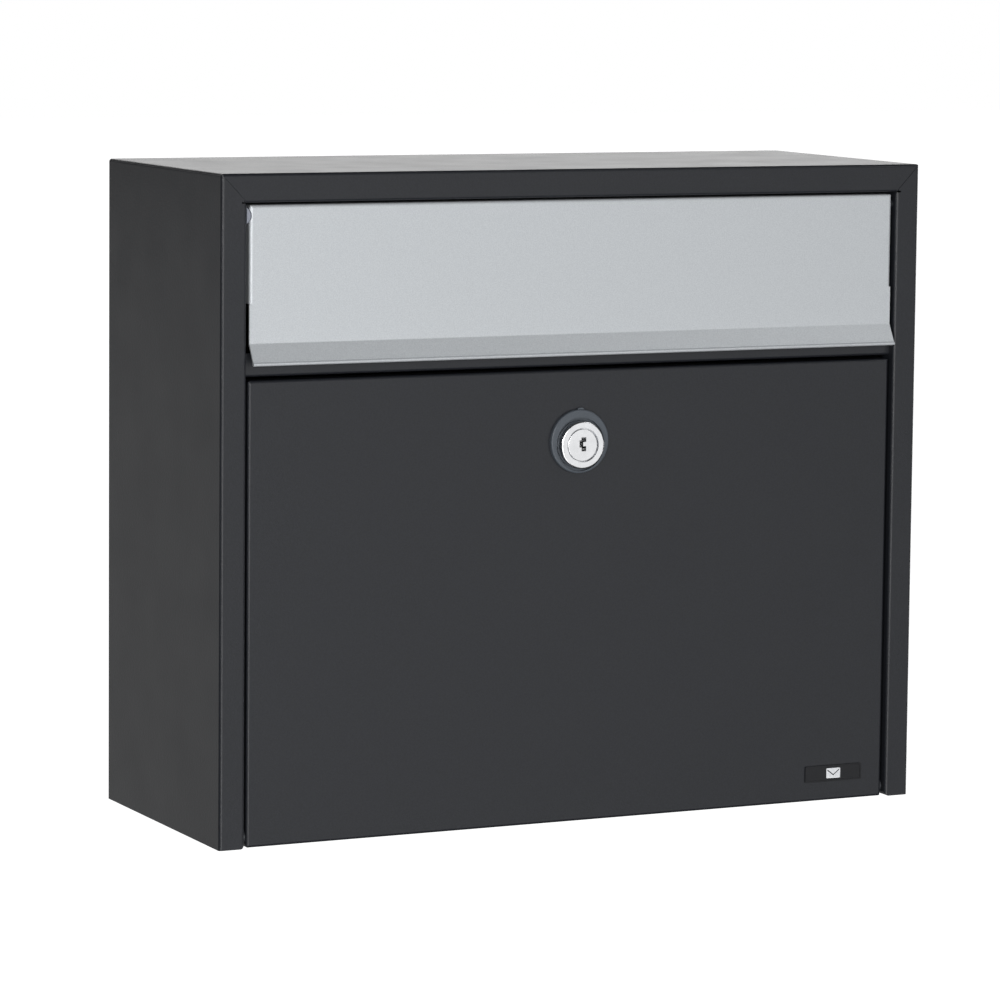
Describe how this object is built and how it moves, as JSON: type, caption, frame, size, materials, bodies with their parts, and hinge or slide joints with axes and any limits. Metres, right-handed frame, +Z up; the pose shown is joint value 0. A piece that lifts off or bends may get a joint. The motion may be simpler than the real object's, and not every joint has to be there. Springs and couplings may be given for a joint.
{
  "type": "wall-mounted mailbox",
  "caption": "Wall-mounted sheet-steel mailbox with a lift-up letter flap above a drop-down door with a cam lock.",
  "frame": {"origin": "on the wall, at the centre of the rectangle of wall holes in the back panel", "axes": "+Z up, +X across the box to the right seen from the front, +Y into the wall; the front faces -Y"},
  "size_m": [0.4, 0.1598, 0.34],
  "materials": {
    "anthracite_paint": "satin powder coat, very finely textured",
    "silver_paint": "metallic silver coat with a fine sparkle",
    "zinc_plate": "bright zinc plating",
    "lock_chrome": "polished chrome plating",
    "wafer_nickel": "stamped nickel silver, bare",
    "pale_nylon": "pale grey nylon, slightly translucent",
    "dark_nylon": "dark grey nylon",
    "rosette_plastic": "satin blue-grey moulding",
    "black_rubber": "soft black rubber",
    "badge_plastic": "dark moulded plate",
    "badge_white": "raised white print"
  },
  "bodies": {
    "casing": {"casing_shell": "anthracite_paint", "back_panel": "anthracite_paint", "floor_panel": "anthracite_paint", "slot_rail": "anthracite_paint", "mail_guard": "anthracite_paint", "flap_pins": "anthracite_paint", "flap_bumpers": "black_rubber", "door_pins": "anthracite_paint", "door_bumpers": "black_rubber"},
    "flap": {"flap": "silver_paint", "flap_bush_left": "pale_nylon", "flap_bush_right": "pale_nylon"},
    "door": {"door_panel": "anthracite_paint", "door_bushes": "dark_nylon", "lock_rosette": "rosette_plastic", "lock_housing": "lock_chrome", "lock_washer": "zinc_plate", "lock_nut": "zinc_plate", "badge": "badge_plastic", "badge_emblem": "badge_white"},
    "lock_core": {"lock_plug": "lock_chrome", "lock_wafers": "wafer_nickel", "lock_wafer_springs": "zinc_plate", "lock_cam": "zinc_plate", "lock_cam_washer": "zinc_plate", "lock_cam_screw": "zinc_plate"}
  },
  "joints": [
    {"name": "flap_hinge", "type": "hinge", "parent": "casing", "child": "flap", "pos_m": [0, -0.1498, 0.1889], "axis": [-1, 0, 0], "range_deg": [0, 115]},
    {"name": "door_hinge", "type": "hinge", "parent": "casing", "child": "door", "pos_m": [0, -0.1485, -0.1248], "axis": [1, 0, 0], "range_deg": [0, 100]},
    {"name": "lock_turn", "type": "hinge", "parent": "door", "child": "lock_core", "pos_m": [0, -0.155, 0.0677], "axis": [0, -1, 0], "range_deg": [0, 90]}
  ]
}
